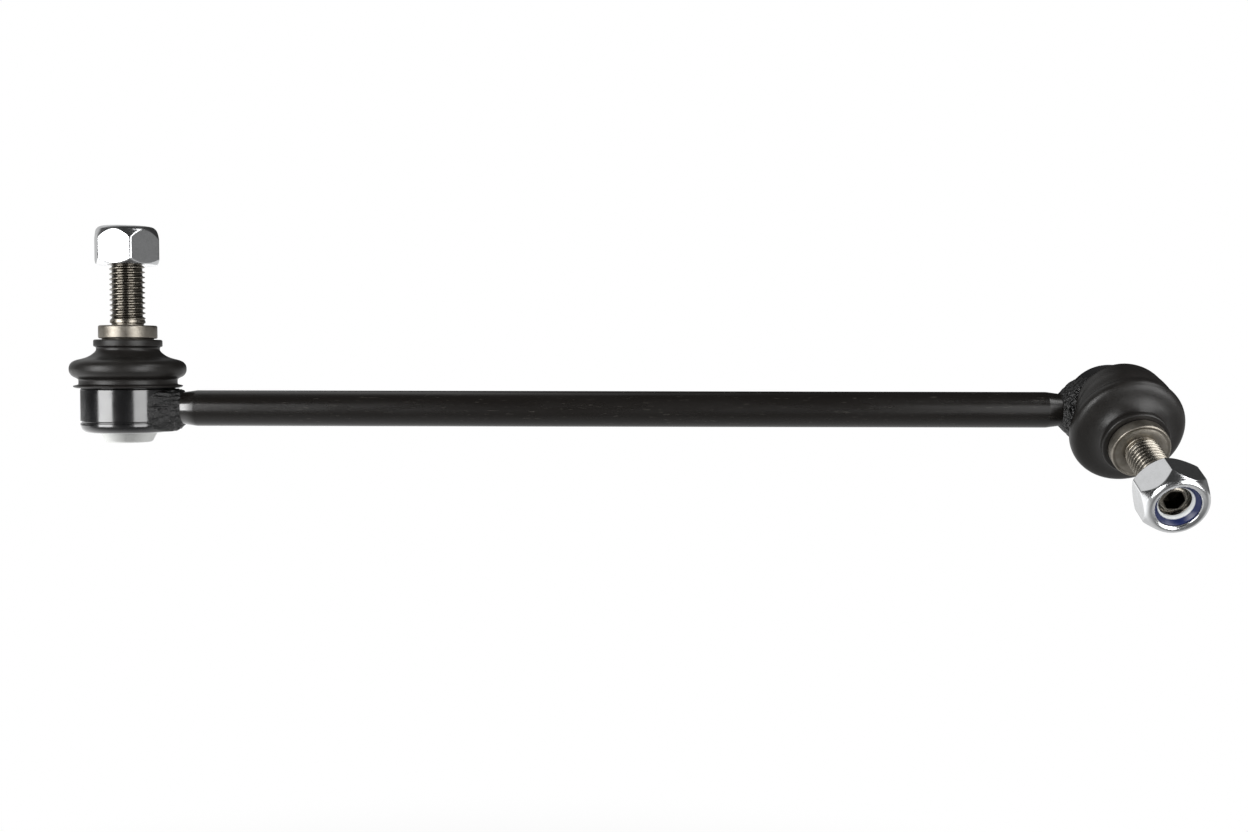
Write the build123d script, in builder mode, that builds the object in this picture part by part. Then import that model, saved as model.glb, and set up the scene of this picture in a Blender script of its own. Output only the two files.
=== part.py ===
from build123d import *
import os
from math import cos, radians, sin, sqrt

os.makedirs("parts", exist_ok=True)

# Stabiliser link: a round bar with a ball joint at each end. Millimetres.
# Each joint is drawn about its ball centre, with Z along the housing and X towards the bar.

# fits
ball_play = 0.05  # ball in its shell
thread_play = 0.05  # nut and ring on the thread, ring in the nut
press_play = 0.03  # pressed and clamped pieces
rubber_play = 0.05  # boot on steel
weld_play = 0.02  # bar and weld against the housing wall

# bar
centre_distance = 290.0  # ball centre to ball centre
bar_radius = 5.25
bar_neck_step = 0.5  # how much thinner the bar is under the weld
bar_neck_length = 3.2  # out from the housing wall
bar_taper_length = 3.8
bar_end_depth = 1.9  # into the housing wall, before the end is coped
weld_waist_inset, weld_waist = 0.55, 1.0
weld_tip_step = 0.25
weld_margin = 0.2  # under the housing's ends
weld_heel = 1.5
weld_length = 3.0  # out from the housing wall

# ball stud, from the ball upwards
ball_radius = 8.0
ball_flat_depth = 0.6
stud_neck_radius = 4.0
stud_neck_length = 2.1
flare_length = 6.6
boot_seat_radius = 7.2
boot_seat_length = 3.7
collar_step = 1.0  # how far the collar stands out over the boot's seat
collar_length = 3.8
collar_bevel = 0.35
relief_start, relief_end = 0.25, 0.75  # groove under the thread, from the collar's face
relief_depth = 0.6
thread_radius = 5.0
thread_length = 25.0  # collar to tip
tip_step = 0.17  # the turns that the nut stands on are cut a little thinner
tip_bevel = 1.0
neck_fillet = 1.5
socket_flats, socket_depth = 5.0, 4.5  # hexagon socket in the stud's end

# lock nut
nut_height = 11.4
nut_overhang = 4.1  # the nut's top stands this far beyond the stud's tip
tip_margin = 0.6  # the thinner turns start this far below the nut
across_flats = 17.0
nut_dome_height = 4.2
nut_bevel_height = 1.6  # at the corners, next to the seat
nut_seat_margin = 0.25  # the bevelled seat is that much smaller than the flats
nut_mouth = 0.6  # bevel of the bore
crown_wall = 0.7  # steel round the ring's pocket at the top
crimp_slope = 0.2
insert_wall = 1.2
insert_height = 2.9
insert_bevel = 0.35
crimp_height = 0.8
crimp_overlap = 0.3
left_nut_corner = -3.7
right_nut_corner = -16.0

# pressed housing
shell_wall = 1.5  # bearing shell at the ball's waist
housing_wall = 3.8
shoulder_margin = 0.6  # the shoulder stands this far over the bar
rim_lip = 0.8  # wall rolled over the cover plate
shell_top_drop, shell_foot_drop = 4.2, 3.0  # the shell's ledges, from the ball's top and bottom
slot_length, slot_width, slot_depth = 4.0, 0.9, 4.5  # in the bearing shell
mouth_step = 2.1  # ledge over the shell
rim_radius = 2.2
tool_line_rise = 3.1  # above the rolled edge
tool_line_radius = 0.35
spigot_height = 2.75
spigot_step = 1.1
spigot_edge = 1.4
bead_groove_depth = 0.5
bead_groove_margin = 0.7

# cover plate
plate_thickness = 1.2
plate_overlap = 1.8
boss_depth = 2.0  # under the ball
boss_wall = 1.2
boss_radius = 6.45
boss_slope = 1.7
boss_step, boss_foot = 0.5, 0.55  # where the slope leaves the plate
boss_fillet, boss_foot_fillet = 1.0, 0.5
nose_wall, nose_slope = 1.3, 1.95  # inside of the raised middle

# rubber boot, between the spigot and its seat on the stud
boot_end_gap = 0.1
# share of the rise, then how far out the skin and the hollow are: 0 at the stud's seat, 1 at the spigot
boot_shape = [
    (0.0, 1.48, 0.94),
    (0.067, 1.64, 1.24),
    (0.16, 1.77, 1.46),
    (0.267, 1.82, 1.555),
    (0.36, 1.82, 1.56),
    (0.47, 1.76, 1.5),
    (0.56, 1.62, 1.35),
    (0.64, 1.4, 1.13),
    (0.7, 1.16, 0.89),
    (0.76, 0.88, 0.61),
    (0.85, 0.6, 0.33),
    (0.93, 0.44, 0.16),
    (1.0, 0.36, 0.06),
]
bend_share = 0.293  # the foot of the rise takes up the lean
# air left in a boot that leans: share of the rise, how far out, share of the lean
leaning_hollow = [
    (0.0, 1.02, 0.0),
    (0.24, 0.96, 0.15),
    (0.507, 0.75, 0.5),
    (0.773, 0.395, 0.85),
    (1.0, 0.06, 1.0),
]
rest_lean = 26.5  # how far the right stud leans off its housing
skirt_overhang = 3.0  # the thin edge at the foot
stretched_skirt_overhang = 1.5  # the same on a boot that leans
ring_groove_wall = 0.8  # rubber between the spigot and the lower ring
neck_groove_wall = 0.9
lower_ring_thickness = 0.6
upper_ring_thickness = 0.57
lip_thickness = 2.35
skirt_edge, skirt_rise = 0.45, 0.8  # the skirt's tip over the housing
skirt_bevel = 0.9
ring_groove_width, ring_groove_rise = 0.4, 0.65
neck_groove_rise, neck_groove_width = 0.3, 1.0
lip_bevel, lip_gap = 0.35, 0.15

ball_flat = ball_radius - ball_flat_depth
stud_neck_top = ball_radius + stud_neck_length
boot_seat_start = stud_neck_top + flare_length
collar_start = boot_seat_start + boot_seat_length
collar_face = collar_start + collar_length
collar_radius = boot_seat_radius + collar_step
stud_tip = collar_face + thread_length
nut_top = stud_tip + nut_overhang
nut_seat = nut_top - nut_height
nut_bore = thread_radius + thread_play
insert_pocket_radius = nut_bore + insert_wall + thread_play
insert_pocket_top = nut_top - crimp_height
insert_pocket_low = insert_pocket_top - insert_height

shell_above, shell_below = ball_radius - shell_top_drop, ball_radius - shell_foot_drop
housing_above = bar_radius + shoulder_margin
housing_below = shell_below + plate_thickness + rim_lip
shell_radius = ball_radius + shell_wall
housing_radius = shell_radius + housing_wall
plate_radius = shell_radius + plate_overlap
plate_low = -shell_below - plate_thickness
spigot_radius = housing_radius - spigot_step
spigot_top = housing_above + spigot_height
bead_groove_radius = spigot_radius - bead_groove_depth
bead_groove_low = housing_above + bead_groove_margin
bead_groove_high = spigot_top - bead_groove_margin

boot_foot = spigot_top + boot_end_gap
boot_neck = boot_seat_start - boot_end_gap
ring_groove_low = bead_groove_low + ring_groove_rise
ring_groove_high = bead_groove_high + ring_groove_width
ring_groove_radius = spigot_radius + ring_groove_wall
neck_groove_low = boot_seat_start + neck_groove_rise
neck_groove_high = neck_groove_low + neck_groove_width
neck_groove_radius = boot_seat_radius + neck_groove_wall

ball_centre_z = -collar_face
left_end = Plane(origin=(0, 0, ball_centre_z), x_dir=(1, 0, 0), z_dir=(0, 0, 1))
right_end = Plane(
    origin=(centre_distance, 0, ball_centre_z), x_dir=(-1, 0, 0), z_dir=(0, -1, 0)
)


def leaning(lean):
    """The stud's own plane: the housing plane turned about the ball centre, Z towards Y."""
    a = radians(lean)
    return Plane(origin=(0, 0, 0), x_dir=(1, 0, 0), z_dir=(0, sin(a), cos(a)))


def turned(points):
    """A ring or solid turned about Z from a closed profile of (radius, height) points."""
    with BuildPart() as ring:
        with BuildSketch(Plane.XZ):
            with BuildLine():
                Polyline(*points, close=True)
            make_face()
        revolve(axis=Axis.Z)
    return ring.part


def rings_at(part, radius, height):
    """The circular edges of a turned part at that radius and height."""
    level = part.edges().filter_by(GeomType.CIRCLE).filter_by_position(
        Axis.Z, height - 0.01, height + 0.01
    )
    return [edge for edge in level if abs(edge.radius - radius) < 0.01]


def make_housing():
    mouth = shell_radius - mouth_step
    lip = plate_radius - 1.4  # the edge rolled over the cover plate
    with BuildPart() as cup:
        with BuildSketch(Plane.XZ):
            with BuildLine():
                Polyline(
                    (shell_radius, shell_above),
                    (mouth, shell_above),
                    (mouth + 1.3, shell_above + 0.65 * (spigot_top - shell_above)),
                    (spigot_radius - spigot_edge, spigot_top),
                    (spigot_radius, spigot_top),
                    (spigot_radius, bead_groove_high),
                    (bead_groove_radius, bead_groove_high),
                    (bead_groove_radius, bead_groove_low),
                    (spigot_radius, bead_groove_low),
                    (spigot_radius, housing_above),
                    (housing_radius, housing_above),
                    (housing_radius, -housing_below),
                    (lip + 0.2, -housing_below),
                    (lip, plate_low),
                    (plate_radius, plate_low),
                    (plate_radius, -shell_below),
                    (shell_radius, -shell_below),
                    close=True,
                )
            make_face()
        revolve(axis=Axis.Z)
        fillet(rings_at(cup, housing_radius, -housing_below), rim_radius)
        fillet(rings_at(cup, housing_radius, housing_above), 0.5)
        chamfer(rings_at(cup, spigot_radius, spigot_top), 0.3)
        # the line that the rolling tool leaves round the wall
        with BuildSketch(Plane.XZ):
            with Locations((housing_radius, tool_line_rise - housing_below)):
                Circle(tool_line_radius)
        revolve(axis=Axis.Z, mode=Mode.SUBTRACT)
    return cup.part


def shell_nose(margin):
    """Closed profile of the bearing shell's lower end, smaller by that margin."""
    floor = boss_depth - boss_wall + ball_radius - margin
    foot = boss_radius - nose_wall - margin
    return [(0, -floor), (foot, -floor), (foot + nose_slope, -shell_below + margin)]


def make_cover_plate():
    rim = plate_radius - press_play
    low = plate_low + press_play
    boss_bottom = -ball_radius - boss_depth
    boss_top = low - boss_step
    boss_edge = boss_radius + boss_slope
    with BuildPart() as plate:
        with BuildSketch(Plane.XZ):
            with BuildLine():
                Polyline(
                    *shell_nose(0),
                    (rim, -shell_below),
                    (rim, low),
                    (boss_edge + boss_foot, low),
                    (boss_edge, boss_top),
                    (boss_radius, boss_bottom),
                    (0, boss_bottom),
                    close=True,
                )
            make_face()
        revolve(axis=Axis.Z)
        fillet(rings_at(plate, boss_radius, boss_bottom), boss_fillet)
        fillet(rings_at(plate, boss_edge, boss_top), boss_foot_fillet)
    return plate.part


def make_ball_seat():
    wall, top = shell_radius - press_play, shell_above - press_play
    with BuildPart() as shell:
        with BuildSketch(Plane.XZ):
            with BuildLine():
                Polyline(
                    *shell_nose(press_play),
                    (wall, -shell_below + press_play),
                    (wall, top),
                    (0, top),
                    close=True,
                )
            make_face()
        revolve(axis=Axis.Z)
        Sphere(ball_radius + ball_play, mode=Mode.SUBTRACT)
        # slots that let the shell spring over the ball
        with BuildSketch(Plane.XY.offset(shell_above)):
            with PolarLocations(ball_radius + 0.5, 6):
                Rectangle(slot_length, slot_width)
        extrude(amount=-slot_depth, mode=Mode.SUBTRACT)
    return shell.part


def make_stud():
    neck_foot = sqrt(ball_radius**2 - stud_neck_radius**2)
    flat_radius = sqrt(ball_radius**2 - ball_flat**2)
    relief_radius = thread_radius - relief_depth
    relief_low, relief_high = collar_face + relief_start, collar_face + relief_end
    tip_low = nut_seat - tip_margin
    tip_radius = thread_radius - tip_step
    with BuildPart() as stud:
        with BuildSketch(Plane.XZ):
            with BuildLine():
                Line((0, -ball_flat), (flat_radius, -ball_flat))
                ThreePointArc(
                    (flat_radius, -ball_flat), (ball_radius, 0), (stud_neck_radius, neck_foot)
                )
                Polyline(
                    (stud_neck_radius, neck_foot),
                    (stud_neck_radius, stud_neck_top),
                    (boot_seat_radius, boot_seat_start),
                    (boot_seat_radius, collar_start),
                    (collar_radius, collar_start),
                    (collar_radius, collar_face),
                    (thread_radius, collar_face),
                    (thread_radius, relief_low),
                    (relief_radius, relief_low),
                    (relief_radius, relief_high),
                    (thread_radius, relief_high),
                    (thread_radius, tip_low),
                    (tip_radius, tip_low),
                    (tip_radius, stud_tip - tip_bevel),
                    (tip_radius - tip_bevel, stud_tip),
                    (0, stud_tip),
                )
                Line((0, stud_tip), (0, -ball_flat))
            make_face()
        revolve(axis=Axis.Z)
        fillet(rings_at(stud, stud_neck_radius, stud_neck_top), neck_fillet)
        with BuildSketch(Plane.XY.offset(stud_tip)):
            RegularPolygon(socket_flats / sqrt(3), 6)
        extrude(amount=-socket_depth, mode=Mode.SUBTRACT)
        for height in (collar_start, collar_face):
            chamfer(rings_at(stud, collar_radius, height), collar_bevel)
    return stud.part


def make_lock_nut(corner):
    flat = across_flats / 2
    widest = across_flats / sqrt(3) + 0.1
    crown = insert_pocket_radius + crown_wall
    opening = insert_pocket_radius - crimp_overlap
    with BuildPart() as nut:
        with BuildSketch(Plane.XY.offset(nut_seat)):
            RegularPolygon(widest - 0.1, 6, rotation=corner)
        extrude(amount=nut_height)
        # outline that bevels the hexagon below and domes it into the collar above
        with BuildSketch(Plane.XZ):
            with BuildLine():
                Polyline(
                    (0, nut_top),
                    (0, nut_seat),
                    (flat - nut_seat_margin, nut_seat),
                    (widest, nut_seat + nut_bevel_height),
                    (widest, nut_top - nut_dome_height),
                )
                Spline(
                    (widest, nut_top - nut_dome_height),
                    (flat, nut_top - 0.3 * nut_dome_height),
                    (crown, nut_top),
                    tangents=((-0.35, 1.0), (-1.0, 0.12)),
                )
                Line((crown, nut_top), (0, nut_top))
            make_face()
        revolve(axis=Axis.Z, mode=Mode.INTERSECT)
        with BuildSketch(Plane.XZ):
            with BuildLine():
                Polyline(
                    (0, nut_seat),
                    (nut_bore + nut_mouth, nut_seat),
                    (nut_bore, nut_seat + nut_mouth),
                    (nut_bore, insert_pocket_low),
                    (insert_pocket_radius, insert_pocket_low),
                    (insert_pocket_radius, insert_pocket_top),
                    (opening, insert_pocket_top),
                    (opening + crimp_slope, nut_top),
                    (0, nut_top),
                    close=True,
                )
            make_face()
        revolve(axis=Axis.Z, mode=Mode.SUBTRACT)
    return nut.part


def make_nut_insert():
    low, high = insert_pocket_low + thread_play, insert_pocket_top - thread_play
    outer = insert_pocket_radius - thread_play
    return turned(
        [
            (nut_bore, low),
            (outer, low),
            (outer, high),
            (nut_bore + insert_bevel, high),
            (nut_bore, high - insert_bevel),
        ]
    )


def make_boot(lean):
    """Folded rubber boot: a bead round the housing, a fold that takes the lean, a lip on the stud."""

    def rise(share):
        return boot_foot + share * (boot_neck - boot_foot)

    def reach(share):
        return boot_seat_radius + share * (spigot_radius - boot_seat_radius)

    def bend(share):
        t = min(share / bend_share, 1)
        return t * t * (3 - 2 * t)

    def skin(stations):
        """Solid through circles that turn about the ball centre as they rise."""
        with BuildPart() as solid:
            for share, out, turn in stations:
                a = radians(lean) * turn
                with BuildSketch(
                    Plane(
                        origin=(0, rise(share) * sin(a), rise(share) * cos(a)),
                        x_dir=(1, 0, 0),
                        z_dir=(0, sin(a), cos(a)),
                    )
                ):
                    Circle(reach(out))
            loft(ruled=lean > 0)  # a smooth skin would cross itself in the tight fold
        return solid.part

    outside = [(s, out, bend(s)) for s, out, _ in boot_shape]
    inside = [(s, out, bend(s)) for s, _, out in boot_shape]
    fold = skin(outside) - skin(leaning_hollow if lean else inside)
    foot_out, foot_in = (reach(out) for out in boot_shape[0][1:])
    neck_out, neck_in = (reach(out) for out in boot_shape[-1][1:])
    groove, spigot = bead_groove_radius + rubber_play, spigot_radius + rubber_play
    skirt = spigot_radius + (stretched_skirt_overhang if lean else skirt_overhang)
    bead = turned(
        [
            (spigot, housing_above + rubber_play),
            (skirt - skirt_bevel, housing_above + rubber_play),
            (skirt, housing_above + skirt_edge),
            (skirt - 0.05, housing_above + skirt_rise),
            (ring_groove_radius + 0.6, ring_groove_low),
            (ring_groove_radius, ring_groove_low),
            (ring_groove_radius, ring_groove_high),
            (ring_groove_radius + 1.0, ring_groove_high),
            (foot_out, boot_foot),
            (foot_in, boot_foot),
            (spigot, boot_foot - 0.3),
            (spigot, bead_groove_high - rubber_play),
            (groove, bead_groove_high - rubber_play),
            (groove, bead_groove_low + rubber_play),
            (spigot, bead_groove_low + rubber_play),
        ]
    )
    seat = boot_seat_radius + rubber_play
    flange = boot_seat_radius + lip_thickness
    lip_top = collar_start - lip_gap
    lip = turned(
        [
            (neck_in, boot_neck),
            (neck_out, boot_neck),
            (neck_groove_radius + 0.6, neck_groove_low),
            (neck_groove_radius, neck_groove_low),
            (neck_groove_radius, neck_groove_high),
            (neck_groove_radius + 0.8, neck_groove_high),
            (flange, neck_groove_high + 0.4),
            (flange, lip_top - lip_bevel),
            (flange - lip_bevel, lip_top),
            (seat, lip_top),
            (seat, boot_neck + 0.25),
        ]
    )
    return bead + fold + leaning(lean).location * lip


def make_boot_ring(radius, thickness, low, high):
    """Steel ring that clamps the boot, in a groove of that radius."""
    inner = radius + press_play
    outer = inner + thickness
    low, high = low + press_play, high - press_play
    return turned([(inner, low), (outer, low), (outer, high), (inner, high)])


def make_weld():
    """Bead between housing and bar: a waisted outline from above, cut back above and below."""
    root_x, root_y = 0.62 * housing_radius, 0.767 * housing_radius
    waist = (housing_radius - weld_waist_inset, bar_radius + weld_waist)
    tip_x, tip_y = housing_radius + weld_length, bar_radius - weld_tip_step
    top, bottom = housing_above - weld_margin, weld_margin - housing_below
    inner = 0.5 * housing_radius
    with BuildPart() as bead:
        with BuildSketch(Plane.XY.offset(-housing_below)):
            with BuildLine():
                Line((root_x, -root_y), (root_x, root_y))
                ThreePointArc((root_x, root_y), waist, (tip_x, tip_y))
                Line((tip_x, tip_y), (tip_x, -tip_y))
                ThreePointArc((tip_x, -tip_y), (waist[0], -waist[1]), (root_x, -root_y))
            make_face()
        extrude(amount=housing_above + housing_below)
        with BuildSketch(Plane.XZ):
            with BuildLine():
                Polyline(
                    (inner, top),
                    (tip_x - 1.3, top - 0.05),
                    (tip_x - 0.3, top - 0.55),
                    (tip_x + 0.1, top - 0.7),
                    (tip_x + 0.1, 0.4 - bar_radius),
                    (tip_x - 1.0, 0.1 - bar_radius),
                    (housing_radius - 0.3, bottom + 0.5),
                    (housing_radius - weld_heel, bottom),
                    (inner, bottom),
                    close=True,
                )
            make_face()
        extrude(amount=housing_radius, both=True, mode=Mode.INTERSECT)
        Cylinder(housing_radius + weld_play, 4 * housing_radius, mode=Mode.SUBTRACT)
        with Locations(Plane.YZ):
            Cylinder(
                bar_radius - bar_neck_step + weld_play, 4 * housing_radius, mode=Mode.SUBTRACT
            )
    return bead.part


with BuildPart() as bar:
    start = housing_radius - bar_end_depth
    neck = housing_radius + bar_neck_length
    taper = neck + bar_taper_length
    neck_radius = bar_radius - bar_neck_step
    with BuildSketch(Plane.XZ):
        with BuildLine():
            Polyline(
                (start, 0),
                (start, neck_radius),
                (neck, neck_radius),
                (taper, bar_radius),
                (centre_distance - taper, bar_radius),
                (centre_distance - neck, neck_radius),
                (centre_distance - start, neck_radius),
                (centre_distance - start, 0),
                close=True,
            )
        make_face()
    revolve(axis=Axis.X)
    # the ends are coped to the two housing walls
    Cylinder(housing_radius + weld_play, 4 * bar_radius, mode=Mode.SUBTRACT)
    with Locations(Location((centre_distance, 0, 0), (90, 0, 0))):
        Cylinder(housing_radius + weld_play, 4 * bar_radius, mode=Mode.SUBTRACT)
bar_part = Location((0, 0, ball_centre_z)) * bar.part
bar_part.label = "bar"
export_step(bar_part, "parts/bar.step")

for side, place, lean, corner in (
    ("left", left_end, 0.0, left_nut_corner),
    ("right", right_end, rest_lean, right_nut_corner),
):
    stud_place = place.location * leaning(lean).location
    lower_ring = make_boot_ring(
        ring_groove_radius, lower_ring_thickness, ring_groove_low, ring_groove_high
    )
    upper_ring = make_boot_ring(
        neck_groove_radius, upper_ring_thickness, neck_groove_low, neck_groove_high
    )
    pieces = {
        "housing": (place.location, make_housing()),
        "cover_plate": (place.location, make_cover_plate()),
        "ball_seat": (place.location, make_ball_seat()),
        "weld": (place.location, make_weld()),
        "boot": (place.location, make_boot(lean)),
        "lower_boot_ring": (place.location, lower_ring),
        "upper_boot_ring": (stud_place, upper_ring),
        "ball_stud": (stud_place, make_stud()),
        "lock_nut": (stud_place, make_lock_nut(corner)),
        "nut_insert": (stud_place, make_nut_insert()),
    }
    for name, (where, piece) in pieces.items():
        placed = where * piece
        placed.label = f"{side}_{name}"
        export_step(placed, f"parts/{side}_{name}.step")
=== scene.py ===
from math import cos, pi, radians, sin, sqrt

import bpy
import numpy as np
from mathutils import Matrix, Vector


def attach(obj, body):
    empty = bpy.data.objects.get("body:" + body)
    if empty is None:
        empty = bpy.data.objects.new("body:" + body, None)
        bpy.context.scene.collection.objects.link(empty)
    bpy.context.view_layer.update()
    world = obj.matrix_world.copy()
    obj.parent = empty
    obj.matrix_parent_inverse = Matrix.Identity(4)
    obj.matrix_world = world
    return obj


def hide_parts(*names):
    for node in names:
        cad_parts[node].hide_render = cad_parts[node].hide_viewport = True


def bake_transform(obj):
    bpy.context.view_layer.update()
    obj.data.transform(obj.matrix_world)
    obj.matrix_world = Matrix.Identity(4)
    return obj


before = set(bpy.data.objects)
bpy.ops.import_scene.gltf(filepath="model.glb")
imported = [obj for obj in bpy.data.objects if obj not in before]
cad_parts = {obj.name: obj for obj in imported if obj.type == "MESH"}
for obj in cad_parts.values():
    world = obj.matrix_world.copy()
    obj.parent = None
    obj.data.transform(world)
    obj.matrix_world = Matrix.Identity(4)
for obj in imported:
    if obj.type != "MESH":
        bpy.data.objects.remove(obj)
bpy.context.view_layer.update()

# The camera stands in front of the bar's middle, a little above it, and looks slightly down on it.
# The photograph's long side is 1248 pixels; the focal length comes from the size of the two joints.
camera_place = Vector((0.1457, -0.3919, -0.0090))
camera_pitch, camera_roll = 2.524, -0.12  # degrees
focal_pixels, photo_width, film_width = 1332, 1248, 36
camera_data = bpy.data.cameras.new("camera")
camera_data.sensor_width = film_width
camera_data.lens = focal_pixels / photo_width * film_width
camera_data.clip_start, camera_data.clip_end = 0.01, 50
camera = bpy.data.objects.new("camera", camera_data)
camera.location = camera_place
camera.rotation_euler = (radians(90 - camera_pitch), radians(camera_roll), 0)
bpy.context.scene.collection.objects.link(camera)
bpy.context.scene.camera = camera
bpy.context.scene.view_settings.view_transform = "Standard"


# Studio: a pale floor well below the link, two tall soft boxes in front, one high up at the right and a
# wide one above. The camera sees white all round. What shines sees white paper behind the link, a pale
# panel to its left, a grey wall at the right and a dark room in front.
def new_material(name):
    """An empty node material and its node tree, with the output node placed."""
    material = bpy.data.materials.new(name)
    material.use_nodes = True
    tree = material.node_tree
    tree.nodes.clear()
    return material, tree, tree.nodes.new("ShaderNodeOutputMaterial")


def node(tree, kind, settings=None, **sockets):
    """A node of that kind, its sockets set to numbers or joined to other nodes' outputs.

    A socket is called by its name with _ for each space, or by _ and its number.
    """
    made = tree.nodes.new(kind)
    for key, value in (settings or {}).items():
        setattr(made, key, value)
    for key, value in sockets.items():
        name = key.replace("_", " ")
        socket = made.inputs[int(name[1:])] if name[1:].isdigit() else made.inputs[name]
        if isinstance(value, bpy.types.NodeSocket):
            tree.links.new(value, socket)
        else:
            socket.default_value = value
    return made


def eased(tree, value, start, end, low=0.0, high=1.0):
    """A value taken from low at start to high at end by a smooth step, 3t^2 - 2t^3."""
    return node(
        tree, "ShaderNodeMapRange", {"interpolation_type": "SMOOTHSTEP"},
        Value=value, From_Min=start, From_Max=end, To_Min=low, To_Max=high,
    ).outputs[0]


def product(tree, first, second):
    """One value times the other."""
    return node(tree, "ShaderNodeMath", {"operation": "MULTIPLY"}, _0=first, _1=second).outputs[0]


def total(tree, first, second):
    """One value and the other added."""
    return node(tree, "ShaderNodeMath", {"operation": "ADD"}, _0=first, _1=second).outputs[0]


def kinds_of_ray(tree):
    """Two values, 1 or 0: whether the camera sees it straight, and whether it is seen in what shines."""
    path = node(tree, "ShaderNodeLightPath").outputs
    shine = node(
        tree, "ShaderNodeMath", {"operation": "MAXIMUM"},
        _0=path["Is Glossy Ray"], _1=path["Is Transmission Ray"],
    )
    return path["Is Camera Ray"], shine.outputs[0]


def soft_box(name, place, target, width, height, power):
    """A rectangular area lamp at one place, turned to face another."""
    lamp = bpy.data.lights.new(name, "AREA")
    lamp.shape, lamp.size, lamp.size_y, lamp.energy = "RECTANGLE", width, height, power
    holder = bpy.data.objects.new(name, lamp)
    holder.location = place
    holder.rotation_mode = "QUATERNION"
    holder.rotation_quaternion = (Vector(target) - Vector(place)).to_track_quat("-Z", "Y")
    bpy.context.scene.collection.objects.link(holder)


white = (1, 1, 1, 1)
floor_reach, floor_level = 9.0, -0.62
corners = [(-1, -1), (1, -1), (1, 1), (-1, 1)]
floor_mesh = bpy.data.meshes.new("floor")
floor_mesh.from_pydata(
    [(x * floor_reach, y * floor_reach, floor_level) for x, y in corners], [], [(0, 1, 2, 3)]
)
floor = bpy.data.objects.new("floor", floor_mesh)
bpy.context.scene.collection.objects.link(floor)
floor_paper, tree, output = new_material("floor_paper")
straight, in_shine = kinds_of_ray(tree)
# the paper goes over into the white background away from the link; its shadow falls near it
place = node(tree, "ShaderNodeTexCoord").outputs["Object"]
away = node(tree, "ShaderNodeVectorMath", {"operation": "LENGTH"}, _0=place).outputs["Value"]
paper_near = node(
    tree, "ShaderNodeBsdfPrincipled", Base_Color=(0.9, 0.9, 0.9, 1), Roughness=0.9,
    Emission_Color=white, Emission_Strength=product(tree, straight, 0.3),
)
paper_far = node(tree, "ShaderNodeEmission", Color=white, Strength=1.0)
paper_seen = node(
    tree, "ShaderNodeMixShader", _0=product(tree, straight, eased(tree, away, 0.75, 1.6)),
    _1=paper_near.outputs[0], _2=paper_far.outputs[0],
)
# in what shines, the paper is bright behind the link and to its left and falls off towards the camera
spot = node(tree, "ShaderNodeSeparateXYZ", Vector=place).outputs
brightness = product(
    tree, eased(tree, spot["Y"], -0.8, 0.35, 0.13, 0.62), eased(tree, spot["X"], -0.45, 0.15, 2.0, 1.0)
)
paper_mirrored = node(tree, "ShaderNodeEmission", Color=white, Strength=brightness)
paper = node(
    tree, "ShaderNodeMixShader", _0=in_shine, _1=paper_seen.outputs[0], _2=paper_mirrored.outputs[0]
)
tree.links.new(paper.outputs[0], output.inputs[0])
floor_mesh.materials.append(floor_paper)

world = bpy.data.worlds.new("room")
bpy.context.scene.world = world
world.use_nodes = True
tree = world.node_tree
tree.nodes.clear()
direction = node(tree, "ShaderNodeTexCoord").outputs["Generated"]
across, deep, high = node(tree, "ShaderNodeSeparateXYZ", Vector=direction).outputs
# white paper hangs behind the link and ends just above it
behind = product(tree, eased(tree, deep, 0.8, 0.95, 0.0, 0.62), eased(tree, high, -0.08, 0.14, 1.0, 0.0))
# a pale panel stands behind to the left and leans in towards its top
leaning = total(tree, across, product(tree, high, -0.45))
panel_face = product(
    tree, eased(tree, leaning, -0.5, -0.36, 1.0, 0.0), eased(tree, deep, 0.15, 0.4, 0.0, 0.52)
)
panel = product(tree, panel_face, eased(tree, high, -0.1, 0.1))
# a grey wall closes the room at the right
wall = product(tree, eased(tree, across, 0.7, 0.95, 0.0, 0.13), eased(tree, high, 0.2, 0.5, 1.0, 0.0))
dark = 0.03
room = total(tree, total(tree, total(tree, behind, panel), wall), dark)
background, fill, mirrored = (
    node(tree, "ShaderNodeBackground", Color=white, Strength=strength).outputs[0]
    for strength in (1.0, 0.25, room)
)
straight, in_shine = kinds_of_ray(tree)
lit = node(tree, "ShaderNodeMixShader", _0=in_shine, _1=fill, _2=mirrored)
seen = node(tree, "ShaderNodeMixShader", _0=straight, _1=lit.outputs[0], _2=background)
node(tree, "ShaderNodeOutputWorld", Surface=seen.outputs[0])

left_end, middle, right_end = (0, 0, -0.024), (0.145, 0, -0.024), (0.29, 0, -0.024)
soft_box("left_box", (-0.736, -0.942, 0.13), left_end, 0.80, 0.88, 13)
soft_box("right_box", (0.875, -0.80, 0.07), left_end, 0.69, 0.86, 7.3)
soft_box("right_high_box", (0.97, -0.37, 0.81), right_end, 0.6, 0.45, 3.5)
soft_box("top_light", (-0.5, 0.5, 1.4), middle, 2.0, 1.2, 1)


# Bar: 10.5 mm drawn steel rod, thinner at both ends under the welds, dipped black all over.
# The paint is satin, with the rod's draw lines showing along it and a little dust in it.
def new_group(name, inputs):
    """A shader node group for a finish: named inputs, each (name, socket type, default or None).

    It puts out a colour, a roughness and a height.
    """
    group = bpy.data.node_groups.new(name, "ShaderNodeTree")
    for label, kind, value in inputs:
        socket = group.interface.new_socket(label, in_out="INPUT", socket_type=kind)
        if value is not None:
            socket.default_value = value
    for label, kind in (("Color", "Color"), ("Roughness", "Float"), ("Height", "Float")):
        group.interface.new_socket(label, in_out="OUTPUT", socket_type=f"NodeSocket{kind}")
    return group, group.nodes.new("NodeGroupInput").outputs, group.nodes.new("NodeGroupOutput").inputs


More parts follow.
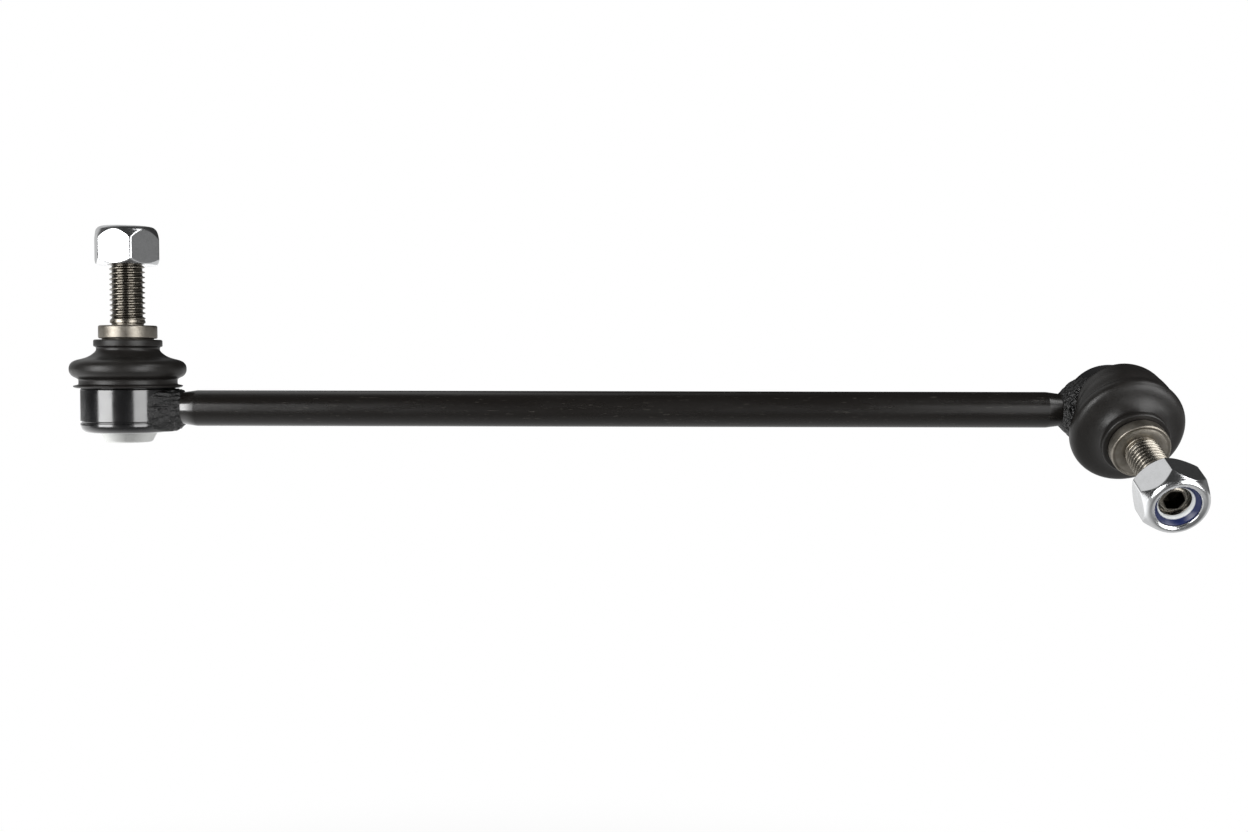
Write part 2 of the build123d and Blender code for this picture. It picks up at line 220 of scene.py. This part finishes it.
def join_group(group, leave, *values):
    """Joins the group's colour, roughness and height to what it puts out."""
    for label, value in zip(("Color", "Roughness", "Height"), values):
        group.links.new(value, leave[label])


def own_place(tree, stretch=(1, 1, 1)):
    """Object coordinates, scaled along each axis."""
    place = node(tree, "ShaderNodeTexCoord").outputs["Object"]
    return node(tree, "ShaderNodeMapping", Vector=place, Scale=stretch).outputs[0]


def noise(tree, place, scale, detail, roughness=0.5):
    """Clouds of noise over a place, about 0 to 1."""
    return node(
        tree, "ShaderNodeTexNoise", Vector=place, Scale=scale, Detail=detail, Roughness=roughness
    ).outputs[0]


def scaled(tree, value, start, end, low=0.0, high=1.0):
    """A value taken in a straight line from low at start to high at end, and held beyond them."""
    return node(
        tree, "ShaderNodeMapRange", Value=value, From_Min=start, From_Max=end, To_Min=low, To_Max=high
    ).outputs[0]


def two_tone(tree, share, first, second):
    """A colour that goes from the first to the second as share goes from 0 to 1."""
    return node(tree, "ShaderNodeMix", {"data_type": "RGBA"}, _0=share, _6=first, _7=second).outputs[2]


def raised(tree, height, strength, distance, **sockets):
    """The surface's normal, bumped by a height."""
    return node(
        tree, "ShaderNodeBump", Height=height, Strength=strength, Distance=distance, **sockets
    ).outputs[0]


def shade(tree, output, **sockets):
    """The material's own shader, joined to its output."""
    shader = node(tree, "ShaderNodeBsdfPrincipled", **sockets)
    tree.links.new(shader.outputs[0], output.inputs[0])


# dust, tiny scratches and uneven film in dipped paint
paint_film, entry, leave = new_group(
    "paint_film",
    [
        ("Place", "NodeSocketVector", None),
        ("Paint", "NodeSocketColor", (0.02, 0.02, 0.02, 1)),
        ("Dust", "NodeSocketColor", (0.16, 0.15, 0.13, 1)),
        ("Dust Share", "NodeSocketFloat", 0.1),
        ("Roughness", "NodeSocketFloat", 0.3),
        ("Ripple", "NodeSocketFloat", 0.1),
    ],
)
cloud = noise(paint_film, entry["Place"], 260.0, 4.0, 0.6)
specks = scaled(paint_film, noise(paint_film, entry["Place"], 2600.0, 2.0), 0.66, 0.74)
dusty = product(paint_film, specks, entry["Dust Share"])
uneven = scaled(paint_film, cloud, 0.3, 0.7, -0.05, 0.07)
join_group(
    paint_film, leave,
    two_tone(paint_film, dusty, entry["Paint"], entry["Dust"]),
    total(paint_film, uneven, entry["Roughness"]),
    product(paint_film, cloud, entry["Ripple"]),
)


def paint_material(name, colour, roughness, ripple, dust, stretch=(1, 1, 1), shine=0.5, coat=0.0):
    """Dipped paint: the film group feeds colour, roughness and a fine bump, under a clear coat if any."""
    material, tree, output = new_material(name)
    film = node(
        tree, "ShaderNodeGroup", {"node_tree": paint_film}, Place=own_place(tree, stretch),
        Paint=(*colour, 1), Dust_Share=dust, Roughness=roughness, Ripple=ripple,
    ).outputs
    shade(
        tree, output, Base_Color=film["Color"], Roughness=film["Roughness"],
        Normal=raised(tree, film["Height"], 0.2, 0.0004), IOR=1.5, Specular_IOR_Level=shine,
        Coat_Weight=coat, Coat_Roughness=0.1, Coat_IOR=1.5,
    )
    return material


def finish_cad(name, material):
    """A CAD node that shows keeps its shape and gets a finish."""
    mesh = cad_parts[name].data
    mesh.materials.clear()
    mesh.materials.append(material)


bar_paint = paint_material("bar_paint", (0.0086, 0.0074, 0.0065), 0.26, 0.25, 0.2, stretch=(0.12, 1, 1))
finish_cad("bar", bar_paint)
# the paint has pooled, thick and glossy, round the bar's thinner left end
pool_start, pool_end, pool_gloss = 0.0172, 0.0204, 2.0
tree = bar_paint.node_tree
place = node(tree, "ShaderNodeTexCoord").outputs["Object"]
along = node(tree, "ShaderNodeSeparateXYZ", Vector=place).outputs["X"]
coat = tree.nodes["Principled BSDF"].inputs
tree.links.new(eased(tree, along, pool_start, pool_end, 0.8, 0.0), coat["Coat Weight"])
coat["Coat IOR"].default_value = pool_gloss


# Housings: cups pressed from steel sheet, rolled over the cover plate at the foot, dipped black.
# The paint is glossy, and takes the tall lights as upright bands.
housing_paint = paint_material(
    "housing_paint", (0.005, 0.005, 0.0055), 0.17, 0.35, 0.2, shine=1.0, coat=0.7
)
for side in ("left", "right"):
    finish_cad(f"{side}_housing", housing_paint)


# Cover plates: zinc-plated steel discs with a raised middle, rolled into the housings' far ends.
# Fine turned marks and faint white bloom lie on the zinc.
metal_wear, entry, leave = new_group(
    "metal_wear",
    [
        ("Place", "NodeSocketVector", None),
        ("Metal", "NodeSocketColor", (0.6, 0.6, 0.6, 1)),
        ("Stain", "NodeSocketColor", (0.3, 0.28, 0.25, 1)),
        ("Stain Share", "NodeSocketFloat", 0.3),
        ("Roughness", "NodeSocketFloat", 0.3),
        ("Grain Scale", "NodeSocketFloat", 900.0),
    ],
)
blots = scaled(metal_wear, noise(metal_wear, entry["Place"], 320.0, 5.0, 0.65), 0.42, 0.72)
grain = noise(metal_wear, entry["Place"], entry["Grain Scale"], 3.0)
stained = product(metal_wear, blots, entry["Stain Share"])
uneven = scaled(metal_wear, grain, 0.3, 0.7, -0.05, 0.06)
join_group(
    metal_wear, leave,
    two_tone(metal_wear, stained, entry["Metal"], entry["Stain"]),
    total(metal_wear, uneven, entry["Roughness"]),
    grain,
)


def metal_material(name, colour, stain, share, roughness, grain=900.0, bump=0.15):
    """Bare or plated metal: the wear group feeds colour, roughness and a fine bump."""
    material, tree, output = new_material(name)
    wear = node(
        tree, "ShaderNodeGroup", {"node_tree": metal_wear}, Place=own_place(tree),
        Metal=(*colour, 1), Stain=(*stain, 1), Stain_Share=share, Roughness=roughness, Grain_Scale=grain,
    ).outputs
    shade(
        tree, output, Base_Color=wear["Color"], Metallic=1.0, Roughness=wear["Roughness"],
        Normal=raised(tree, wear["Height"], bump, 0.0001),
    )
    return material


zinc_plate = metal_material("zinc_plate", (0.86, 0.87, 0.85), (0.93, 0.93, 0.91), 0.4, 0.42)
for side in ("left", "right"):
    finish_cad(f"{side}_cover_plate", zinc_plate)


# Bearing shells: white acetal cups round the balls, hidden unless a boot is taken off.
# Moulded, with a faint haze.
def plastic_material(name, colour, roughness, grain=700.0, shine=0.5, pale=None):
    """Moulded plastic: noise varies the colour a little, and a value given at each point takes it to the
    pale one, a painted highlight.
    """
    material, tree, output = new_material(name)
    haze = noise(tree, own_place(tree), grain, 3.0)
    darker, lighter = [c * 0.9 for c in colour], [min(c * 1.08, 1) for c in colour]
    base = two_tone(tree, haze, (*darker, 1), (*lighter, 1))
    if pale:
        highlight_share = node(tree, "ShaderNodeAttribute", {"attribute_name": "highlight_share"}).outputs["Fac"]
        base = two_tone(tree, highlight_share, base, (*pale, 1))
    shade(
        tree, output, Base_Color=base, Roughness=roughness, Specular_IOR_Level=shine,
        Normal=raised(tree, haze, 0.08, 0.0001),
    )
    return material


bearing_plastic = plastic_material("bearing_plastic", (0.8, 0.79, 0.74), 0.4)
for side in ("left", "right"):
    finish_cad(f"{side}_ball_seat", bearing_plastic)


# Welds: one run of bead between each housing and the bar's thinner end, painted over.
# Steps of the bead and a little spatter stand out; the paint is glossy, and lighter spots in its colour are
# painted glints.
mm = 0.001  # sizes are in millimetres, and meshes in metres
drop = 24.2  # ball centres lie this far below the left stud's collar face
span = 290.0  # ball centre to ball centre
housing_radius, housing_above, housing_below, bar_neck = 13.3, 5.85, 7.0, 4.75
# how far the bead lies over the bar's neck, flares out sideways, runs along the bar and is sunk in the wall
bead_cover, bead_flare, bead_reach, bead_sunk = 0.07, 5.25, 3.05, 0.25
short_above, short_below = 0.2, 0.25  # the bead stops this far short of the housing's edges
steps_round, step_height, spatter_height = 26, 0.10, 0.13  # ripples on the bead's skin


def joint_axes(side):
    """Ball centre in millimetres, and the housing's own X, Y and Z as directions of the link's frame."""
    if side == "left":
        return np.array([0, 0, -drop]), np.eye(3)
    return np.array([span, 0, -drop]), np.array([[-1, 0, 0], [0, 0, -1], [0, -1, 0]], float)


def in_link(side, points, lean=0.0):
    """Points given in a joint's own axes, leaned about its X first, in the link's frame, in metres."""
    a = radians(lean)
    turn = np.array([[1, 0, 0], [0, cos(a), sin(a)], [0, -sin(a), cos(a)]])
    centre, axes = joint_axes(side)
    return (points @ turn.T @ axes + centre) * mm


def grid_piece(name, points, closed_rows=False, sharp=32):
    """Mesh of a grid of points whose rows run round and close; a row drawn to one point is one vertex.

    Face (i, j) joins points (i, j), (i, j+1), (i+1, j+1) and (i+1, j). It faces out where the rows
    rise and the columns run anticlockwise seen from above. Edges sharper than sharp degrees stay hard.
    """
    one_point = 1e-9
    rows, columns = points.shape[:2]
    index = np.arange(rows * columns).reshape(rows, columns)
    poles = np.ptp(points, axis=1).max(axis=1) < one_point
    index[poles] = index[poles, :1]
    lower = index if closed_rows else index[:-1]
    upper = np.roll(index, -1, 0) if closed_rows else index[1:]
    quads = np.stack([lower, np.roll(lower, -1, 1), np.roll(upper, -1, 1), upper], -1).reshape(-1, 4)
    used, quads = np.unique(quads, return_inverse=True)
    quads = quads.reshape(-1, 4)
    foot, head = quads[:, 0] == quads[:, 1], quads[:, 2] == quads[:, 3]
    faces = quads[~foot & ~head].tolist() + quads[foot & ~head][:, [0, 2, 3]].tolist()
    faces += quads[head & ~foot][:, [0, 1, 2]].tolist()
    mesh = bpy.data.meshes.new(name)
    mesh.from_pydata(points.reshape(-1, 3)[used], [], faces)
    mesh.shade_smooth()
    mesh.set_sharp_from_angle(angle=radians(sharp))
    piece = bpy.data.objects.new(name, mesh)
    bpy.context.scene.collection.objects.link(piece)
    return piece


def smooth_step(start, end, value):
    """3t^2 - 2t^3, where t runs from 0 at start to 1 at end."""
    t = np.clip((value - start) / (end - start), 0, 1)
    return t * t * (3 - 2 * t)


def bumps(a, b, seed):
    """Sum of plane waves of random heading over two parameters, about -1 to 1."""
    waves = 8
    random = np.random.default_rng(seed)
    heading = random.uniform(0, 2 * pi, waves)
    pace = random.uniform(0.6, 1.7, waves)
    phase = random.uniform(0, 2 * pi, waves)
    return sum(
        np.sin(p * (a * cos(h) + b * sin(h)) + start) for h, p, start in zip(heading, pace, phase)
    ) / (waves / 2)


def weld_points(seed):
    """Skin of a fillet weld: rings round the bar, from the housing's wall out to the bar.

    At share t of the way out, the ring is a rounded box of half-width w(t) and heights up(t) and
    down(t); its distance x goes from the wall, sqrt(R^2 - y^2), to the bar's end of the bead. The
    bead's steps and spatter are added outwards, and fade at both ends.
    """
    t = np.linspace(0, 1, 30)[:, None]
    a = np.linspace(0, 2 * pi, 120, endpoint=False)[None, :]
    hollow = (1 - t) ** 1.9
    skin = bar_neck + bead_cover
    half_width = skin + bead_flare * hollow
    up = skin + (housing_above - bar_neck - short_above) * (1 - t) ** 0.7
    down = skin + (housing_below - bar_neck - short_below) * (1 - t) ** 0.8
    box = 2 + 1.6 * (1 - t)  # superellipse power: round at the bar, boxy at the wall
    c, s = np.cos(a), np.sin(a)
    size = (np.abs(c) ** box + np.abs(s) ** box) ** (-1 / box)
    y = half_width * c * size
    z = np.where(s > 0, up, down) * s * size
    wall = np.sqrt(np.maximum(housing_radius**2 - y**2, 0)) - bead_sunk
    x = wall + (housing_radius + bead_reach - wall) * t**0.85
    steps = step_height * np.sin(steps_round * a + 3.0 * bumps(3 * a, 5 * t, seed))
    spatter = spatter_height * bumps(14 * a, 16 * t, seed + 1)
    fade = smooth_step(0, 0.12, t) * smooth_step(1, 0.8, t)
    out = (steps + spatter) * fade
    points = np.stack([x + 0.6 * out, y + out * c, z + out * s], -1)
    root = points[:1] * [1, 0.4, 0.4] - [3.0, 0, 0]
    tip = points[-1:] * [1, 0.9, 0.9] - [0.3, 0, 0]
    rings = np.concatenate([root, points, tip])
    # each end is closed at its ring's middle
    first, last = (0 * ring + ring.mean(1, keepdims=True) for ring in (rings[:1], rings[-1:]))
    return np.concatenate([first, rings, last])


weld_metal, tree, output = new_material("weld_metal")
place = own_place(tree)
crust = noise(tree, place, 1500.0, 6.0, 0.7)
cells = node(tree, "ShaderNodeTexVoronoi", Vector=place, Scale=900.0).outputs[0]
# lighter spots of colour where the crust noise is high: painted glints
painted_glints = scaled(tree, crust, 0.57, 0.70)
shade(
    tree, output, Base_Color=two_tone(tree, painted_glints, (0.004, 0.004, 0.004, 1), (0.035, 0.034, 0.033, 1)),
    Roughness=0.22, Specular_IOR_Level=0.6, Normal=raised(tree, total(tree, crust, cells), 0.6, 0.0005),
)
for seed, side in ((3, "left"), (8, "right")):
    weld = grid_piece(f"{side}_weld_bead", in_link(side, weld_points(seed)))
    weld.data.materials.append(weld_metal)
    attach(weld, "link")
    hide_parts(f"{side}_weld")


# Ball studs: forged and turned steel, zinc-nickel plated, with a collar over the boot and an M10 thread.
# The thread is rolled, right-handed, 1.5 mm pitch, with a plain land and a relief above the collar.
collar_face, collar_start, collar_radius, seat_radius = 24.2, 20.4, 8.2, 7.2
ball_radius, ball_flat, waist, waist_top, seat_start = 8.0, 7.4, 4.0, 10.1, 16.7
relief_top, stud_tip, pitch, crest_radius, thread_depth = 0.82, 49.2, 1.5, 4.93, 0.7
thread_start, thread_end, run_in, run_out, tip_bevel = collar_face + 1.9, stud_tip - 0.8, 0.9, 1.0, 0.55
socket_flats, socket_depth = 5.0, 4.5
round_stud = 120  # points in each ring


def turned_points(profile, columns=round_stud):
    """Grid of a turned surface: row i is the circle of radius profile[i, 0] at height profile[i, 1]."""
    a = np.linspace(0, 2 * pi, columns, endpoint=False)
    r, z = profile[:, :1], profile[:, 1:]
    return np.stack([r * np.cos(a), r * np.sin(a), z + 0 * a], -1)


def arc(centre_r, centre_z, radius, start, end, count):
    """Points of a circular arc in a profile, angles in degrees from the outward direction."""
    a = np.radians(np.linspace(start, end, count))
    return np.stack([centre_r + radius * np.cos(a), centre_z + radius * np.sin(a)], -1)


def thread_points():
    """Rolled thread: radius = crest - depth * V(phase), phase = z / pitch - angle / 2 pi.

    V is a trapezium wave with 60 degree flanks, 0 on the crest and 1 in the root, a little rounded. It
    fades out where the thread starts and ends, and the last turn is bevelled.
    """
    rows_per_turn, half_crest, rounding = 18, 0.085, 0.35
    land = collar_face + relief_top + 0.04
    z = np.arange(land, thread_end + 0.01, pitch / rows_per_turn)[:, None]
    a = np.linspace(0, 2 * pi, round_stud, endpoint=False)[None, :]
    phase = (z / pitch - a / (2 * pi)) % 1
    away = np.abs(phase - 0.5) * pitch  # from the crest's middle
    v = np.clip((away - half_crest) * sqrt(3) / thread_depth, 0, 1)
    v = smooth_step(0, 1, v) * rounding + v * (1 - rounding)
    starting = smooth_step(thread_start - run_in, thread_start + run_in, z)
    ending = smooth_step(thread_end, thread_end - run_out, z)
    r = crest_radius - thread_depth * v * starting * ending
    r = r - tip_bevel * smooth_step(thread_end - 1.1, thread_end + 0.1, z)
    return np.stack([r * np.cos(a), r * np.sin(a), z + 0 * a], -1)


def stud_points():
    """The whole stud, turned about Z: ball, waist, cone, boot seat, collar, relief, thread and end."""
    foot = np.degrees(np.arcsin(ball_flat / ball_radius))
    shoulder = np.degrees(np.arccos(waist / ball_radius))
    below = np.concatenate(
        [
            [[0, -ball_flat]],
            arc(0, 0, ball_radius, -foot, shoulder, 40),
            [[waist, 7.9], [waist, waist_top - 0.5], [waist + 0.25, waist_top + 0.2]],
            [[seat_radius, seat_start], [seat_radius, collar_start - 0.2]],
            [[seat_radius + 0.1, collar_start]],
            arc(collar_radius - 0.4, collar_start + 0.4, 0.4, -90, 0, 7),
            arc(collar_radius - 0.5, collar_face - 0.5, 0.5, 0, 90, 9),
            # a shallow ring is turned in the collar's face, and the relief lies under the thread
            [[7.45, collar_face - 0.15], [7.1, collar_face - 0.15], [6.85, collar_face]],
            [[5.3, collar_face], [4.62, collar_face + 0.03]],
            [[4.45, collar_face + 0.2], [4.42, collar_face + 0.4], [4.5, collar_face + 0.58]],
            [[4.85, collar_face + 0.76], [crest_radius, collar_face + relief_top]],
        ]
    )
    end = turned_points(np.array([[4.2, -0.55], [3.2, -0.04], [3.0, 0], [2.98, 0]]) + [0, stud_tip])
    # hexagon socket: half the flats over cos of the angle from the nearest flat's middle
    a = np.linspace(0, 2 * pi, round_stud, endpoint=False)
    out = socket_flats / 2 / np.cos(a % (pi / 3) - pi / 6)
    socket = [
        np.stack([out * k * np.cos(a), out * k * np.sin(a), stud_tip - deep + 0 * a], -1)
        for k, deep in ((1.02, 0.02), (1.0, 0.12), (1.0, socket_depth - 0.7), (0.0, socket_depth))
    ]
    return np.concatenate([turned_points(below), thread_points(), end, socket])


# turning marks run round the stud: rings of noise along its own axis
stud_steel, tree, output = new_material("stud_steel")
along = node(tree, "ShaderNodeAttribute", {"attribute_name": "along"}).outputs["Fac"]
spot = own_place(tree)
marks = node(
    tree, "ShaderNodeTexNoise", {"noise_dimensions": "1D"}, W=along, Scale=5200.0, Detail=4.0
).outputs[0]
pores = noise(tree, spot, 3800.0, 3.0)
stain = scaled(tree, noise(tree, spot, 420.0, 5.0, 0.65), 0.4, 0.72)
plated = two_tone(tree, stain, (0.355, 0.328, 0.283, 1), (0.24, 0.217, 0.183, 1))
# the thread's roots and the socket are painted dark: painted shade in them
painted_shade = node(tree, "ShaderNodeAttribute", {"attribute_name": "painted_shade"}).outputs["Fac"]
# the rolled thread shines more than the turned collar below it
turned = scaled(tree, along, (collar_face + 0.2) * mm, (collar_face + 0.8) * mm, 0.40, 0.25)
pitted = scaled(tree, pores, 0.3, 0.7, -0.05, 0.06)
fine = 0.00008  # depth of marks and pores, in metres
shade(
    tree, output, Base_Color=two_tone(tree, painted_shade, plated, (0.022, 0.019, 0.015, 1)), Metallic=1.0,
    Roughness=total(tree, turned, pitted),
    Normal=raised(tree, pores, 0.12, fine, Normal=raised(tree, marks, 0.4, fine)),
)

rest_lean = {"left": 0.0, "right": 26.5}


def along_and_out(side, piece):
    """Each vertex's height along the stud from the ball's middle, in metres, and distance out, in mm."""
    centre, axes = joint_axes(side)
    places = np.zeros(len(piece.data.vertices) * 3, np.float32)
    piece.data.vertices.foreach_get("co", places)
    axis = in_link(side, np.array([[0, 0, 1.0]]), rest_lean[side])[0] - centre * mm
    axis = axis / np.linalg.norm(axis)
    from_ball = places.reshape(-1, 3) - centre * mm
    height = from_ball @ axis
    return height, np.linalg.norm(from_ball - height[:, None] * axis, axis=1) / mm


def give_values(piece, name, values):
    """A named value for each vertex of a piece, for its material to read."""
    held = piece.data.attributes.new(name, "FLOAT", "POINT")
    held.data.foreach_set("value", values.astype(np.float32))


# how dark the thread's roots and the socket are painted, as painted shade
shade_in_roots, shade_in_socket, socket_rim = 0.72, 0.972, 2.9
for side in ("left", "right"):
    stud = grid_piece(f"{side}_threaded_stud", in_link(side, stud_points(), rest_lean[side]), sharp=38)
    height, out = along_and_out(side, stud)
    painted_shade = shade_in_roots * np.clip((crest_radius - 0.12 - out) / (thread_depth - 0.2), 0, 1)
    painted_shade[(height < (collar_face + 0.9) * mm) | ((height > thread_end * mm) & (out > socket_rim))] = 0
    painted_shade[(height > (stud_tip - socket_depth - 0.1) * mm) & (out < socket_rim)] = shade_in_socket
    give_values(stud, "along", height)
    give_values(stud, "painted_shade", painted_shade)
    stud.data.materials.append(stud_steel)
    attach(stud, f"{side}_stud")
    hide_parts(f"{side}_ball_stud")


# Boots: moulded black rubber bellows with one wide fold, a thin skirt at the foot and a lip at the neck.
# A ring clamps the foot to the housing and another the neck to the stud; the fold takes up the lean.
# (radius, height) from the skirt's underside up to the lip under the collar
boot_profile = np.array(
    [
        (12.4, 5.93), (14.0, 5.93), (14.85, 6.12), (15.12, 6.36), (15.17, 6.52), (15.05, 6.65),
        (14.5, 6.78), (13.95, 6.92), (13.75, 7.1), (13.7, 7.3), (13.7, 8.1), (13.82, 8.5),
        (14.2, 8.78), (14.75, 9.05), (15.25, 9.35), (15.68, 9.75), (15.98, 10.2), (16.18, 10.7),
        (16.26, 11.25), (16.26, 11.8), (16.16, 12.35), (15.95, 12.85), (15.6, 13.3), (15.1, 13.7),
        (14.4, 14.02), (13.6, 14.26), (12.8, 14.46), (12.05, 14.68), (11.35, 14.95), (10.75, 15.25),
        (10.2, 15.6), (9.75, 15.95), (9.35, 16.3), (9.05, 16.65), (8.87, 16.95), (8.82, 17.25),
        (8.84, 17.6), (9.0, 17.88), (9.3, 18.0), (9.5, 18.12), (9.56, 18.35), (9.56, 19.55),
        (9.5, 19.8), (9.3, 19.98), (9.0, 20.05), (7.8, 20.1), (7.25, 20.1),
    ]
)
# the leaning boot's skirt, up to this height, is drawn in to this radius
skirt_top, drawn_skirt = 7.2, 13.35
bend_foot, bend_head = 8.0, 10.0  # the rubber between these heights takes up the lean


def finer(profile, share):
    """The profile with points added: a Catmull-Rom curve through its points, share per span."""
    p = np.concatenate([profile[:1], profile, profile[-1:]])
    t = np.linspace(0, 1, share, endpoint=False)[None, :, None]
    a, b, c, d = (p[i : len(p) - 3 + i][:, None] for i in range(4))
    square, cube = 2 * a - 5 * b + 4 * c - d, 3 * b - a - 3 * c + d
    curve = (2 * b + (c - a) * t + square * t**2 + cube * t**3) / 2
    return np.concatenate([curve.reshape(-1, 2), profile[-1:]])


boot_rubber, tree, output = new_material("boot_rubber")
spot = own_place(tree)
mottle = noise(tree, spot, 300.0, 5.0, 0.6)
dust = scaled(tree, noise(tree, spot, 5200.0, 3.0), 0.62, 0.78, 0.0, 0.35)
rubber = two_tone(tree, mottle, (0.0084, 0.0073, 0.0063, 1), (0.0132, 0.0118, 0.0105, 1))
shade(
    tree, output, Base_Color=two_tone(tree, dust, rubber, (0.038, 0.034, 0.031, 1)),
    Roughness=scaled(tree, mottle, 0.3, 0.7, 0.34, 0.46),
    Normal=raised(tree, noise(tree, spot, 1700.0, 4.0), 0.18, 0.00015),
)

for side in ("left", "right"):
    profile = boot_profile.copy()
    if rest_lean[side]:
        skirt = profile[:, 1] < skirt_top
        profile[skirt, 0] = np.minimum(profile[skirt, 0], drawn_skirt)
    grid = turned_points(finer(profile, 3), 144)
    boot = grid_piece(f"{side}_boot_skin", in_link(side, grid), sharp=50)
    boot.data.materials.append(boot_rubber)
    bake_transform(boot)
    if rest_lean[side]:
        # the blend's shares belong to the straight boot; its points are then leaned by their shares
        points = grid.reshape(-1, 3).copy()
        share = smooth_step(bend_foot, bend_head, points[:, 2]) * radians(rest_lean[side])
        c, s = np.cos(share), np.sin(share)
        x, y, z = points.T
        leaned = np.stack([x, y * c + z * s, z * c - y * s], -1)
        boot.data.vertices.foreach_set("co", in_link(side, leaned).astype(np.float32).ravel())
        boot.data.update()
    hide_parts(f"{side}_boot")


# Boot rings: closed rings of black spring steel, two at each joint, sprung over the rubber.
# They lie sunk in its grooves and hold the foot to the housing and the neck to the stud.
ring_steel = paint_material("ring_steel", (0.018, 0.018, 0.018), 0.25, 0.3, 0.2)
for side in ("left", "right"):
    finish_cad(f"{side}_lower_boot_ring", ring_steel)
    finish_cad(f"{side}_upper_boot_ring", ring_steel)


# Lock nuts: cold-formed hexagon nuts, 17 mm across flats, crimped over a nylon ring, bright zinc plated.
# Corners are bevelled below and run up into the domed crown in curved edges.
nut_seat, nut_top, flats = 41.9, 52.95, 17.0
nut_corner = {"left": -3.7, "right": -16.0}  # degrees that a corner is turned from the joint's X
# heights from the seat up, and then from the top down
nut_foot = np.concatenate(
    [
        [(5.05, 3.6), (5.05, 1.6), (5.05, 0.65), (5.6, 0.04), (6.4, 0), (8.15, 0)],
        np.linspace((8.42, 0.03), (9.95, 1.65), 30),
        np.linspace((10.05, 1.85), (10.05, 7.0), 40),
    ]
)
nut_crown = np.concatenate(
    [
        np.linspace((9.95, -4.05), (8.56, -1.36), 40),
        [(8.48, -1.14), (8.33, -0.87), (8.11, -0.6), (7.86, -0.36), (7.58, -0.16), (7.32, -0.05)],
        [(7.12, -0.03), (6.92, -0.09), (6.7, -0.18), (6.46, -0.28), (6.24, -0.38), (6.12, -0.5)],
        [(6.06, -0.82), (6.28, -0.84)],
        [(6.28, -3.65), (5.3, -3.72), (5.05, -3.8), (5.05, -5.5)],
    ]
)
nut_profile = np.concatenate([nut_foot + [0, nut_seat], nut_crown + [0, nut_top]])
turned_radius = 7.9


def softly_smaller(first, second, soft):
    """The smaller of two, rounded where they meet: -soft log(exp(-x / soft) + exp(-y / soft))."""
    near = 8.0  # both are about this long, and it keeps the powers small
    return near - soft * np.log(np.exp((near - first) / soft) + np.exp((near - second) / soft))


def nut_points(corner):
    """Hexagon cut from a turned blank: radius = the smaller of the blank's R(z) and the hexagon's.

    The hexagon's radius at angle a is half the flats over cos of a's distance from the nearest flat's
    middle. The smaller one is taken softly, so that every edge is rounded by about 0.1 mm. What lies
    inside the turned radius, the bore, the crimp and the seat, isn't touched by the hexagon.
    """
    a = np.linspace(0, 2 * pi, 360, endpoint=False)[None, :]
    from_flat = (a - radians(corner)) % (pi / 3) - pi / 6
    corner_radius = flats / sqrt(3) - 0.12
    hexagon = softly_smaller(flats / 2 / np.cos(from_flat), corner_radius, 0.05)
    r, z = nut_profile[:, :1], nut_profile[:, 1:]
    radius = np.where(r < turned_radius, r + 0 * a, softly_smaller(r, hexagon, 0.06))
    return np.stack([radius * np.cos(a), radius * np.sin(a), z + 0 * a], -1)


nut_zinc = metal_material(
    "nut_zinc", (0.86, 0.87, 0.88), (0.68, 0.69, 0.69), 0.35, 0.2, grain=2600.0, bump=0.1
)
for side in ("left", "right"):
    points = in_link(side, nut_points(nut_corner[side]), rest_lean[side])
    nut = grid_piece(f"{side}_crimped_nut", points, closed_rows=True, sharp=40)
    nut.data.materials.append(nut_zinc)
    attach(nut, f"{side}_nut")
    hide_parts(f"{side}_lock_nut")


# Nylon rings: moulded blue nylon, pressed into the nuts under the crimp. They have no thread of their
# own, so a stud has to cut its way through; the inner edge is painted pale, a painted highlight.
# (radius, height from the nut's top)
insert_profile = np.array(
    [
        (4.4, -3.3), (4.5, -3.5), (5.0, -3.6), (6.1, -3.6), (6.22, -3.5), (6.22, -1.0),
        (6.15, -0.92), (5.95, -0.95), (5.75, -1.1), (5.2, -1.75), (5.0, -2.05), (4.93, -2.15),
        (4.6, -2.55), (4.4, -3.0),
    ]
) + [0, nut_top]
insert_nylon = plastic_material(
    "insert_nylon", (0.006, 0.014, 0.075), 0.34, grain=1500.0, shine=0.6, pale=(0.66, 0.68, 0.68)
)
# inside this radius the ring's inner edge is painted pale: a painted highlight
highlight_to, highlight_edge = 4.96, 0.06
for side in ("left", "right"):
    points = in_link(side, turned_points(finer(insert_profile, 2)), rest_lean[side])
    insert = grid_piece(f"{side}_nylon_ring", points, closed_rows=True, sharp=60)
    height, out = along_and_out(side, insert)
    give_values(insert, "highlight_share", np.clip((highlight_to - out) / highlight_edge, 0, 1))
    insert.data.materials.append(insert_nylon)
    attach(insert, f"{side}_insert")
    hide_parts(f"{side}_nut_insert")
